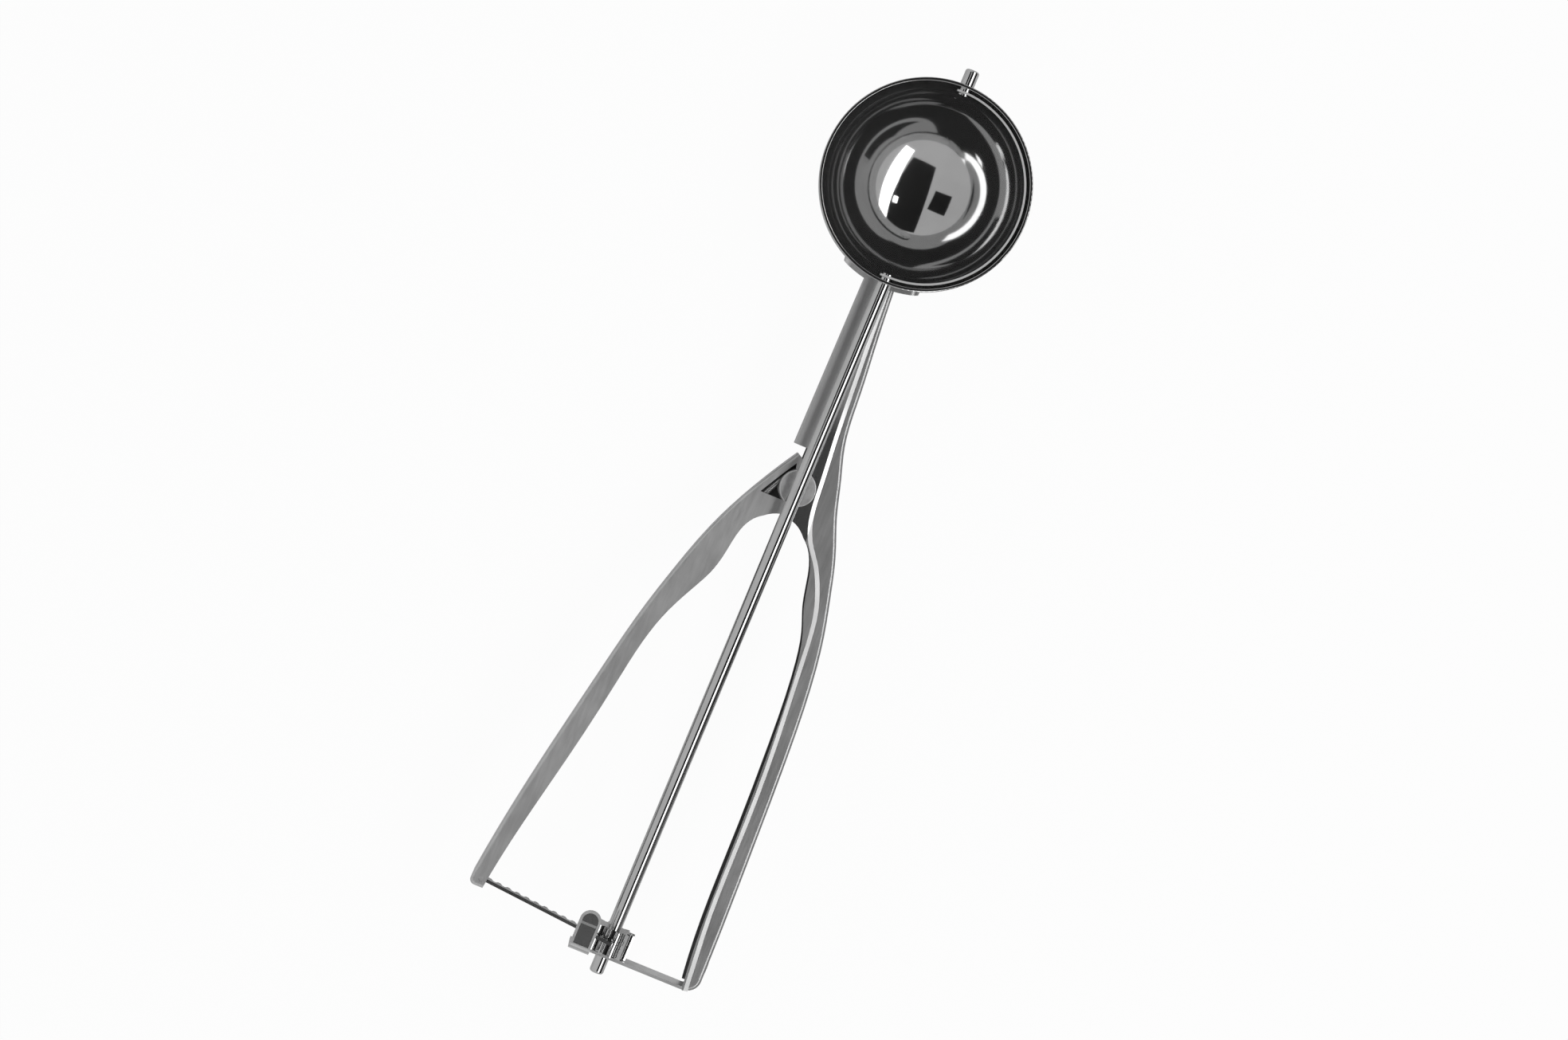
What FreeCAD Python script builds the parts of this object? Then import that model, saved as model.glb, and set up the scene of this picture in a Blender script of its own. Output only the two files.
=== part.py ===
"""Lever ice cream scoop: a spring-loaded lever drives a rack, a pinion and a rod that turns the sweep blade.

Frame in millimetres: the origin is the centre of the bowl's rim, +Z points out of the mouth,
the handles run towards -Y and the moving lever lies on the -X side.
"""
import FreeCAD, Part
import math
import os

V = FreeCAD.Vector
X_AXIS = V(1, 0, 0)
Y_AXIS = V(0, 1, 0)
Z_AXIS = V(0, 0, 1)
BIG = 400.0
INSIDE_BOWL_Y = 10.0
PAST_END = 20.0
SNAP = 0.01
STEEP = 0.5

# Bowl
BOWL_INNER_R = 25.0
BOWL_WALL = 0.8
BOWL_COLLAR = 3.1
RIM_ROUND = 0.2

# Rod, blade and the fits they turn in
ROD_R = 1.75
ROD_END_Y = -207.1
ROD_END_ROUND = 0.6
RUNNING_FIT = 0.05
SPIGOT_R = 1.1
SPIGOT_HEAD_R = 1.7
SPIGOT_HEAD_THICK = 0.35
SPIGOT_HEAD_GAP = 0.08
BLADE_GAP = 0.8
BLADE_THICK = 0.5
BLADE_WIDTH = 5.4
BLADE_SEAT_GAP = 0.05
TOP_PIN_REACH = 4.1

# Sheet stampings
SHEET = 0.9
BEND_R = 0.8
FLANGE_GAP = 0.1
CHANNEL_DEPTH = 8.6
NECK_FRONT_Z = -5.5
SHOULDER_Y = -86.0
SHOULDER_EASE = 10.0
END_Y = -195.0
END_FRONT_Z = 5.6
END_BACK_Z = -9.2

# Pivot of the lever
PIVOT_Y = -79.4
RIVET_R = 2.0
RIVET_HEAD_R = 4.5
RIVET_HEAD_THICK = 0.5
RIVET_TAIL_R = 3.4
RIVET_TAIL_THICK = 0.8
HUB_R = 4.4

# Neck and fixed handle, in plan
NECK_TOP_Y = -24.0
NECK_LEFT_TOP_X = -4.6
NECK_LEFT_END_X = -4.9
NECK_LEFT_END_Y = -69.5
NECK_HIDDEN_X = -1.6
NECK_OPEN_TOP_Y = -31.0
NECK_OPEN_END_Y = -66.0
FIXED_END_Y = -201.4
FIXED_END_ROUND = 3.4
FIXED_OUTER = [(3.0, -24.0), (4.2, -40.0), (5.3, -52.0), (6.8, -66.0), (9.2, -74.0), (11.5, -82.0),
               (14.7, -90.4), (17.5, -100.3), (19.8, -110.2), (21.3, -120.2), (22.7, -140.0),
               (23.4, -162.0), (23.9, -185.0), (24.0, -201.4)]
FIXED_ARCH = [(-1.6, -86.9), (2.2, -87.4), (6.45, -90.4)]
FIXED_FRONT_INNER = [(6.45, -90.4), (10.4, -95.3), (13.0, -100.4), (14.8, -105.6), (15.8, -111.5),
                     (16.5, -120.0), (18.0, -140.0), (18.7, -162.0), (19.1, -185.0), (20.4, -201.4)]
FIXED_BACK_INNER = [(6.45, -90.4), (9.0, -93.3), (11.4, -100.8), (12.6, -105.9), (14.5, -111.0),
                    (16.4, -120.0), (17.9, -140.0), (18.6, -162.0), (19.0, -185.0), (20.3, -201.4)]

# Ridge that runs down the neck and along the inner edge: the face right of it lies lower
RIDGE_NECK = [(0.7, -20.0), (1.8, -40.0), (2.6, -53.0), (3.5, -66.0), (4.5, -77.0), (5.6, -86.0),
              (7.6, -90.9)]
RIDGE_LIP = 0.3
RIDGE_DROP = 0.35
RIDGE_SLOPE_WIDTH = 1.1
RIDGE_EDGE = 0.03

# Saddle where the neck is welded to the bowl
SADDLE_LEFT_X = -11.0
SADDLE_RIGHT_X = 9.0
SADDLE_CORNER = 2.0

# Lever, in plan
LEVER_OUTER = [(-3.16, -71.4), (-9.7, -82.7), (-15.65, -95.4), (-20.6, -110.5), (-23.3, -120.3),
               (-27.5, -140.0), (-31.4, -160.0), (-34.9, -180.0), (-37.2, -197.0)]
LEVER_ARCH = [(2.0, -86.6), (-2.0, -86.9), (-5.15, -88.7)]
LEVER_FRONT_INNER = [(-5.15, -88.7), (-8.8, -92.3), (-11.3, -96.3), (-13.9, -101.4), (-16.0, -107.0),
                     (-17.2, -112.0), (-18.8, -120.3), (-23.0, -140.0), (-26.7, -160.0),
                     (-30.9, -180.0), (-33.7, -197.0)]
LEVER_BACK_INNER = [(-5.15, -88.7), (-7.6, -91.0), (-10.3, -100.8), (-11.6, -105.9), (-14.0, -111.0),
                    (-18.3, -120.3), (-22.7, -140.0), (-26.4, -160.0), (-30.6, -180.0), (-33.4, -197.0)]
LEVER_END_ROUND = 1.4
STRAP_WIDTH = 1.8
WINDOW_TOP_Y = -73.8
WINDOW_END_Y = -83.5
WINDOW_HUB_X = -0.5
LEVER_HUB_R = 4.6

# Spring on the pivot
SPRING_WIRE_R = 0.65
SPRING_MEAN_R = 4.3
SPRING_PITCH = 1.75
SPRING_FULL_TURNS = 2
LEG_END_Y = -103.0
LEG_GAP = 0.35
LEG_RISE = 1.1

# Rack and pinion
MODULE = 0.8
TEETH = 12
PRESSURE_ANGLE = math.radians(20.0)
FLANK_STEPS = 3
BACKLASH = 0.2
RACK_ADDENDUM = 0.56
RACK_DEDENDUM = 1.0
PINION_DEDENDUM = 0.85
PINION_TOP_Y = -195.2
PINION_LENGTH = 6.4
RACK_THICK = 0.8
RACK_FRONT_Z = 4.4
RACK_PAST_MESH = 1.3
RACK_PLAIN = 3.2
MESH_Y = -198.0
HINGE_X = -34.5
HINGE_Y = -195.0
HINGE_PIN_R = 0.7
EYE_WALL = 0.6
EYE_BACK_Z = -3.0

# Guide arm across the ends of the handles
ARM_THICK = 0.75
ARM_GAP = 0.15
ARM_HALF_WIDTH = 3.15
ARM_BEND_R = 2.8
ARM_FOLD_R = 1.5
ARM_SEAT_GAP = 0.02
ARM_TAB_TOP_Y = -191.5
ARM_RIVET_Y = -196.0
ARM_RIVET_R = 1.1
ARM_RIVET_HEAD_R = 2.0
ARM_RIVET_HEAD_THICK = 0.5
EAR_LEFT_X = -8.95
EAR_RIGHT_X = -3.7
EAR_TOP_Y = -191.9
EAR_GAP = 0.35
EAR_RIM = 0.65
EAR_DISH = 0.25
EAR_FOOT = 1.7
EAR_RIB_Y = -195.4
EAR_RIB_WIDTH = 0.6

# Places worked out from the sizes above
AXIS_Z = -BOWL_COLLAR
BOWL_OUTER_R = BOWL_INNER_R + BOWL_WALL
BLADE_R = BOWL_INNER_R - BLADE_GAP
LEVER_FRONT_Z = NECK_FRONT_Z - SHEET - FLANGE_GAP
NECK_BACK_Z = NECK_FRONT_Z - CHANNEL_DEPTH
LEVER_BACK_Z = LEVER_FRONT_Z - CHANNEL_DEPTH
PITCH_R = MODULE * TEETH / 2
MESH_Z = AXIS_Z + PITCH_R
PINION_END_Y = PINION_TOP_Y - PINION_LENGTH
ARM_TOP_Y = PINION_END_Y - ARM_GAP
ARM_END_Y = ARM_TOP_Y - ARM_THICK
EAR_Z = RACK_FRONT_Z + EAR_GAP


def line(a, b):
    """A straight edge."""
    return Part.LineSegment(a, b).toShape()


def curve(points):
    """One smooth edge through the points."""
    spline = Part.BSplineCurve()
    spline.interpolate(points)
    return spline.toShape()


def flat(points, z=0.0):
    """Plan points as vectors at height z."""
    return [V(x, y, z) for x, y in points]


def cylinder(radius, start, axis, length):
    """A cylinder from a start point along an axis."""
    return Part.makeCylinder(radius, length, start, axis)


def shifted(points, distance):
    """Plan points moved sideways, to the left of the way they run, by a distance."""
    spline = Part.BSplineCurve()
    spline.interpolate(flat(points))
    moved = []
    for x, y in points:
        here = V(x, y, 0)
        tangent = spline.tangent(spline.parameter(here))[0]
        moved.append((x - tangent.y * distance, y + tangent.x * distance))
    return moved


def plan_prism(edges):
    """The plan outline run through the whole height."""
    face = Part.Face(Part.Wire(Part.__sortEdges__(edges)))
    face.translate(V(0, 0, -BIG / 2))
    return face.extrude(V(0, 0, BIG))


def side_line(flat_z, end_z, inset):
    """Edges of one flange seen from the side: level along the neck, eased, then sloping to the end."""
    slope = (end_z - flat_z) / (END_Y - SHOULDER_Y)
    z0 = flat_z + inset
    start = V(0, INSIDE_BOWL_Y, z0)
    ease_in = V(0, SHOULDER_Y + SHOULDER_EASE, z0)
    ease_out_y = SHOULDER_Y - SHOULDER_EASE
    ease_out = V(0, ease_out_y, z0 + slope * (ease_out_y - SHOULDER_Y))
    half_turn = math.atan(slope) / 2
    middle = V(0, SHOULDER_Y - SHOULDER_EASE * math.tan(half_turn) * half_turn,
               z0 - slope * SHOULDER_EASE / 4)
    far_y = END_Y - PAST_END
    end = V(0, far_y, z0 + slope * (far_y - SHOULDER_Y))
    return [start, ease_in, middle, ease_out, end]


def side_prism(front_flat, front_end, back_flat, back_end, inset):
    """The side outline between two flanges, run through the whole width."""
    front = side_line(front_flat, front_end, -inset)
    back = side_line(back_flat, back_end, inset)
    edges = []
    for run in (front, back):
        edges.append(line(run[0], run[1]))
        edges.append(Part.Arc(run[1], run[2], run[3]).toShape())
        edges.append(line(run[3], run[4]))
    edges.append(line(front[0], back[0]))
    edges.append(line(front[4], back[4]))
    face = Part.Face(Part.Wire(Part.__sortEdges__(edges)))
    face.translate(V(-BIG / 2, 0, 0))
    return face.extrude(V(BIG, 0, 0))


def edges_over(shape, points, low_z=-BIG):
    """The long, fairly level edges above low_z that lie over the plan curve through the points."""
    path = curve(flat(points))
    chosen = []
    for edge in shape.Edges:
        place = (edge.FirstParameter + edge.LastParameter) / 2
        middle = edge.valueAt(place)
        over = Part.Vertex(V(middle.x, middle.y, 0)).distToShape(path)[0] < SNAP
        level = abs(edge.tangentAt(place).z) < STEEP
        if over and level and edge.Length > 2 * SHEET and middle.z > low_z:
            chosen.append(edge)
    return chosen


def edges_at(shape, x, y, z):
    """The edges that keep to the given x, y and z all along; None leaves one of them free."""
    chosen = []
    for edge in shape.Edges:
        box = edge.BoundBox
        spans = ((x, box.XMin, box.XMax), (y, box.YMin, box.YMax), (z, box.ZMin, box.ZMax))
        if all(at is None or (abs(low - at) < SNAP and abs(high - at) < SNAP) for at, low, high in spans):
            chosen.append(edge)
    return chosen


def strip_between(first, second):
    """The plan region between two curves that leave from one point, run through the whole height."""
    edges = [curve(flat(first)), curve(flat(second)), line(flat(first)[-1], flat(second)[-1])]
    return plan_prism(edges)


def above_back_flange(flat_z, end_z):
    """Everything in front of a channel's back flange."""
    return side_prism(flat_z + BIG, end_z + BIG, flat_z, end_z, SHEET)


def bowl():
    """Hemisphere with a short straight collar, bored for the top pin and the rod."""
    centre = V(0, 0, AXIS_Z)
    outer = Part.makeSphere(BOWL_OUTER_R, centre, Z_AXIS, -90, 0, 360)
    outer = outer.fuse(cylinder(BOWL_OUTER_R, centre, Z_AXIS, BOWL_COLLAR)).removeSplitter()
    inner = Part.makeSphere(BOWL_INNER_R, centre, Z_AXIS, -90, 0, 360)
    inner = inner.fuse(cylinder(BOWL_INNER_R, centre, Z_AXIS, BOWL_COLLAR)).removeSplitter()
    shell = outer.cut(inner)
    shell = shell.makeFillet(RIM_ROUND, edges_at(shell, None, None, 0))
    bore = cylinder(ROD_R + RUNNING_FIT, V(0, -2 * BOWL_OUTER_R, AXIS_Z), Y_AXIS, 4 * BOWL_OUTER_R)
    return shell.cut(bore)


def sweep_blade():
    """Half ring of flat strip whose ends run past the axis as round tabs with spigot holes."""
    half = BLADE_WIDTH / 2
    ring = cylinder(BLADE_R, V(0, 0, AXIS_Z - half), Z_AXIS, BLADE_WIDTH)
    ring = ring.cut(cylinder(BLADE_R - BLADE_THICK, V(0, 0, AXIS_Z - half), Z_AXIS, BLADE_WIDTH))
    blade = ring.common(Part.makeBox(BIG, BIG, BIG, V(0, -BIG / 2, -BIG / 2)))
    for start_y in (-BLADE_R, BLADE_R - BLADE_THICK):
        tab = Part.makeBox(half, BLADE_THICK, BLADE_WIDTH, V(-half, start_y, AXIS_Z - half))
        tab = tab.common(cylinder(half, V(0, start_y, AXIS_Z), Y_AXIS, BLADE_THICK))
        blade = blade.fuse(tab)
    hole = cylinder(SPIGOT_R, V(0, -BIG / 2, AXIS_Z), Y_AXIS, BIG)
    return blade.cut(hole).removeSplitter()


def sweep_rod():
    """Long rod with a turned-down, riveted end that holds the blade."""
    shoulder_y = -BLADE_R - BLADE_SEAT_GAP
    rod = cylinder(ROD_R, V(0, ROD_END_Y, AXIS_Z), Y_AXIS, shoulder_y - ROD_END_Y)
    tip = [e for e in rod.Edges if e.BoundBox.YMax < ROD_END_Y + SNAP]
    rod = rod.makeFillet(ROD_END_ROUND, tip)
    head_y = -BLADE_R + BLADE_THICK + SPIGOT_HEAD_GAP
    rod = rod.fuse(cylinder(SPIGOT_R, V(0, shoulder_y, AXIS_Z), Y_AXIS, head_y - shoulder_y))
    return rod.fuse(cylinder(SPIGOT_HEAD_R, V(0, head_y, AXIS_Z), Y_AXIS, SPIGOT_HEAD_THICK))


def top_pin():
    """Pin through the far side of the bowl, riveted to the blade inside."""
    shoulder_y = BLADE_R + BLADE_SEAT_GAP
    tip_y = BOWL_OUTER_R + TOP_PIN_REACH
    pin = cylinder(ROD_R, V(0, shoulder_y, AXIS_Z), Y_AXIS, tip_y - shoulder_y)
    tip = [e for e in pin.Edges if e.BoundBox.YMin > tip_y - SNAP]
    pin = pin.makeFillet(ROD_END_ROUND, tip)
    seat_y = BLADE_R - BLADE_THICK - SPIGOT_HEAD_GAP
    pin = pin.fuse(cylinder(SPIGOT_R, V(0, seat_y, AXIS_Z), Y_AXIS, shoulder_y - seat_y))
    return pin.fuse(cylinder(SPIGOT_HEAD_R, V(0, seat_y - SPIGOT_HEAD_THICK, AXIS_Z), Y_AXIS,
                             SPIGOT_HEAD_THICK))


def involute_flank():
    """Points on one flank of a pinion tooth, from the root to the tip, as radius and half angle."""
    base_r = PITCH_R * math.cos(PRESSURE_ANGLE)
    root_r = PITCH_R - PINION_DEDENDUM
    tip_r = PITCH_R + MODULE
    tooth = math.pi * MODULE / 2 - BACKLASH
    inv_pitch = math.tan(PRESSURE_ANGLE) - PRESSURE_ANGLE
    half_at_base = tooth / (2 * PITCH_R) + inv_pitch
    flank = [(root_r, half_at_base)]
    for i in range(FLANK_STEPS + 1):
        r = base_r + (tip_r - base_r) * i / FLANK_STEPS
        roll = math.acos(base_r / r)
        flank.append((r, half_at_base - (math.tan(roll) - roll)))
    return flank


def polar(radius, angle, y):
    """A point about the rod's axis, the angle measured from +Z towards +X."""
    return V(radius * math.sin(angle), y, AXIS_Z + radius * math.cos(angle))


def pinion():
    """Long gear on the rod; a tooth space faces the rack at rest."""
    flank = involute_flank()
    step = 2 * math.pi / TEETH
    root_r = flank[0][0]
    tip_r = flank[-1][0]
    edges = []
    for k in range(TEETH):
        centre = (k + 0.5) * step
        rise = [polar(r, centre - a, PINION_END_Y) for r, a in flank]
        fall = [polar(r, centre + a, PINION_END_Y) for r, a in flank]
        edges.append(line(rise[0], rise[1]))
        edges.append(curve(rise[1:]))
        edges.append(Part.Arc(rise[-1], polar(tip_r, centre, PINION_END_Y), fall[-1]).toShape())
        edges.append(curve(fall[1:]))
        edges.append(line(fall[1], fall[0]))
        next_foot = polar(root_r, centre + step - flank[0][1], PINION_END_Y)
        valley = polar(root_r, centre + step / 2, PINION_END_Y)
        edges.append(Part.Arc(fall[0], valley, next_foot).toShape())
    face = Part.Face(Part.Wire(Part.__sortEdges__(edges)))
    gear = face.extrude(V(0, PINION_LENGTH, 0))
    return gear.cut(cylinder(ROD_R, V(0, PINION_END_Y, AXIS_Z), Y_AXIS, PINION_LENGTH))


def rack():
    """Thin toothed bar with a rolled eye at the lever's end and a round free end."""
    reach = math.hypot(HINGE_X, MESH_Y - HINGE_Y)
    pitch = math.pi * MODULE
    half_at_pitch = (pitch / 2 - BACKLASH) / 2
    tip_half = half_at_pitch - RACK_ADDENDUM * math.tan(PRESSURE_ANGLE)
    root_half = half_at_pitch + RACK_DEDENDUM * math.tan(PRESSURE_ANGLE)
    tip_z = MESH_Z - RACK_ADDENDUM
    root_z = MESH_Z + RACK_DEDENDUM
    end_x = reach + RACK_PAST_MESH
    end_r = (RACK_FRONT_Z - root_z) / 2
    count = int((reach - RACK_PLAIN) / pitch)
    first = reach - count * pitch
    outline = [V(0, 0, RACK_FRONT_Z), V(0, 0, tip_z), V(first - pitch + tip_half, 0, tip_z),
               V(first - pitch + root_half, 0, root_z), V(first - root_half, 0, root_z)]
    for k in range(count, -1, -1):
        centre = reach - k * pitch
        outline.append(V(centre - tip_half, 0, tip_z))
        outline.append(V(centre + tip_half, 0, tip_z))
        outline.append(V(centre + root_half, 0, root_z))
        if k > 0:
            outline.append(V(centre + pitch - root_half, 0, root_z))
    outline.append(V(end_x - end_r, 0, root_z))
    edges = [line(outline[i], outline[i + 1]) for i in range(len(outline) - 1)]
    front_corner = V(end_x - end_r, 0, RACK_FRONT_Z)
    edges.append(Part.Arc(outline[-1], V(end_x, 0, (root_z + RACK_FRONT_Z) / 2), front_corner).toShape())
    edges.append(line(front_corner, outline[0]))
    face = Part.Face(Part.Wire(Part.__sortEdges__(edges)))
    bar = face.extrude(V(0, RACK_THICK, 0))
    bar.translate(V(0, -RACK_THICK / 2, 0))
    eye_r = HINGE_PIN_R + RUNNING_FIT + EYE_WALL
    eye = cylinder(eye_r, V(0, 0, EYE_BACK_Z), Z_AXIS, RACK_FRONT_Z - EYE_BACK_Z)
    bore = cylinder(HINGE_PIN_R + RUNNING_FIT, V(0, 0, EYE_BACK_Z), Z_AXIS, RACK_FRONT_Z - EYE_BACK_Z)
    piece = bar.fuse(eye).cut(bore)
    angle = math.degrees(math.atan2(MESH_Y - HINGE_Y, -HINGE_X))
    piece.rotate(V(0, 0, 0), Z_AXIS, angle)
    piece.translate(V(HINGE_X, HINGE_Y, 0))
    return piece


def rack_pin():
    """Flush pin across the lever's end, through both flanges and the rack's eye."""
    slope_front = (END_FRONT_Z - LEVER_FRONT_Z) / (END_Y - SHOULDER_Y)
    slope_back = (END_BACK_Z - LEVER_BACK_Z) / (END_Y - SHOULDER_Y)
    front = END_FRONT_Z + slope_front * (HINGE_Y - END_Y) - HINGE_PIN_R * abs(slope_front)
    back = END_BACK_Z + slope_back * (HINGE_Y - END_Y) + HINGE_PIN_R * abs(slope_back)
    return cylinder(HINGE_PIN_R, V(HINGE_X, HINGE_Y, back), Z_AXIS, front - back)


def ridge_line(offset):
    """The ridge in plan, moved right by an offset."""
    along = RIDGE_NECK + shifted(FIXED_FRONT_INNER, RIDGE_LIP)[1:]
    return shifted(along + [(along[-1][0], FIXED_END_Y - PAST_END)], offset)


def right_of_ridge(offset):
    """All that lies right of the ridge, moved by an offset."""
    edge = ridge_line(offset)
    corners = flat([edge[-1], (BIG, edge[-1][1]), (BIG, edge[0][1]), edge[0]])
    edges = [line(corners[i], corners[i + 1]) for i in range(len(corners) - 1)]
    return plan_prism([curve(flat(edge))] + edges)


def lowered(plan, inset, offset):
    """A plan between the fixed handle's flanges, its front lower right of the ridge."""
    right = right_of_ridge(offset)
    high = side_prism(NECK_FRONT_Z, END_FRONT_Z, NECK_BACK_Z, END_BACK_Z, inset)
    low = side_prism(NECK_FRONT_Z - RIDGE_DROP, END_FRONT_Z - RIDGE_DROP, NECK_BACK_Z, END_BACK_Z, inset)
    return plan.cut(right).common(high).fuse(plan.common(right).common(low)).removeSplitter()


def ridge_slope(block):
    """Wedge in the corner right of the ridge, which eases the drop there."""
    pairs = edges_over(block, ridge_line(0), LEVER_FRONT_Z)
    heights = {round(edge.CenterOfMass.y): edge for edge in sorted(pairs, key=lambda e: e.CenterOfMass.z)}
    path = Part.Wire(Part.__sortEdges__(list(heights.values())))
    first = path.Edges[0]
    start = first.Vertexes[0].Point
    side = Z_AXIS.cross(first.tangentAt(first.FirstParameter)).normalize()
    side = side * math.copysign(1.0, side.x)
    top = start - side * RIDGE_EDGE - Z_AXIS * RIDGE_EDGE
    foot = top - Z_AXIS * RIDGE_DROP
    toe = foot + side * (RIDGE_SLOPE_WIDTH + RIDGE_EDGE)
    sweep = Part.BRepOffsetAPI.MakePipeShell(path)
    sweep.setBiNormalMode(Z_AXIS)
    sweep.add(Part.makePolygon([top, foot, toe, top]))
    sweep.build()
    sweep.makeSolid()
    return sweep.shape()


def fixed_handle():
    """Neck and fixed handle in one stamping, with the saddle that is welded to the bowl."""
    hub_y = math.sqrt(HUB_R ** 2 - NECK_HIDDEN_X ** 2)
    outer = flat(FIXED_OUTER)
    arch = flat(FIXED_ARCH)
    inner = flat(FIXED_BACK_INNER)
    hub_low = V(NECK_HIDDEN_X, PIVOT_Y - hub_y, 0)
    notch = [outer[0], V(NECK_LEFT_TOP_X, NECK_TOP_Y, 0), V(NECK_LEFT_END_X, NECK_LEFT_END_Y, 0),
             V(NECK_HIDDEN_X, NECK_LEFT_END_Y, 0), V(NECK_HIDDEN_X, PIVOT_Y + hub_y, 0)]
    edges = [line(notch[i], notch[i + 1]) for i in range(len(notch) - 1)]
    edges.append(Part.Arc(notch[-1], V(-HUB_R, PIVOT_Y, 0), hub_low).toShape())
    edges += [line(hub_low, arch[0]), curve(arch), curve(inner), line(inner[-1], outer[-1]), curve(outer)]
    block = lowered(plan_prism(edges), 0, 0)
    corner = [e for e in block.Edges if e.BoundBox.XMin > outer[-1].x - SNAP
              and e.BoundBox.YMax < FIXED_END_Y + SNAP and e.BoundBox.ZLength > CHANNEL_DEPTH]
    block = block.makeFillet(FIXED_END_ROUND, corner)
    block = block.makeFillet(BEND_R, edges_over(block, FIXED_OUTER))
    block = block.fuse(ridge_slope(block).common(plan_prism(edges)))

    inside = shifted(FIXED_OUTER, -SHEET)
    wall_x = NECK_LEFT_TOP_X + SHEET
    ring = flat([inside[0], (inside[0][0], INSIDE_BOWL_Y), (wall_x, INSIDE_BOWL_Y), (wall_x, NECK_TOP_Y),
                 (NECK_LEFT_END_X + SHEET, NECK_LEFT_END_Y), (-BIG / 4, NECK_LEFT_END_Y), (-BIG / 4, -BIG),
                 (inside[-1][0], -BIG), inside[-1]])
    hollow_edges = [line(ring[i], ring[i + 1]) for i in range(len(ring) - 1)]
    hollow_plan = plan_prism([curve(flat(inside))] + hollow_edges)
    shell = block.cut(lowered(hollow_plan, SHEET, RIDGE_SLOPE_WIDTH / 2))
    strip = strip_between(FIXED_FRONT_INNER, FIXED_BACK_INNER)
    shell = shell.cut(strip.common(above_back_flange(NECK_BACK_Z, END_BACK_Z)))

    open_back = Part.makeBox(BIG, NECK_OPEN_TOP_Y - NECK_OPEN_END_Y, 2 * SHEET,
                             V(wall_x - SHEET / 2, NECK_OPEN_END_Y, NECK_BACK_Z - SHEET / 2))
    shell = shell.cut(open_back.common(hollow_plan))
    shell = shell.cut(Part.makeSphere(BOWL_OUTER_R, V(0, 0, AXIS_Z)))
    shell = shell.cut(cylinder(RIVET_R, V(0, PIVOT_Y, -BIG / 2), Z_AXIS, BIG))
    shell = shell.cut(cylinder(ARM_RIVET_R, V(0, ARM_RIVET_Y, AXIS_Z), X_AXIS, BIG))
    return shell.fuse(saddle()).removeSplitter()


def saddle():
    """Wings of the neck that hug the bowl."""
    centre = V(0, 0, AXIS_Z)
    wing = Part.makeSphere(BOWL_OUTER_R + SHEET, centre).cut(Part.makeSphere(BOWL_OUTER_R, centre))
    plate = Part.makeBox(SADDLE_RIGHT_X - SADDLE_LEFT_X, BIG, NECK_FRONT_Z - NECK_BACK_Z,
                         V(SADDLE_LEFT_X, -BIG, NECK_BACK_Z))
    long_edges = [e for e in plate.Edges if e.BoundBox.YLength > BIG - SNAP]
    return wing.common(plate.makeFillet(SADDLE_CORNER, long_edges))


def lever_window():
    """Opening in the lever's front flange between its wall and the hub."""
    strap = shifted(LEVER_OUTER, STRAP_WIDTH)
    path = curve(flat(strap))
    height = WINDOW_TOP_Y - WINDOW_END_Y
    edge = path.common(Part.makeBox(BIG, height, BIG, V(-BIG / 2, WINDOW_END_Y, -BIG / 2))).Edges[0]
    ends = sorted([v.Point for v in edge.Vertexes], key=lambda p: p.y)
    low = V(WINDOW_HUB_X, WINDOW_END_Y, 0)
    edges = [edge, line(ends[0], low), line(low, ends[1])]
    return plan_prism(edges).cut(cylinder(LEVER_HUB_R, V(0, PIVOT_Y, -BIG / 2), Z_AXIS, BIG))


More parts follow.
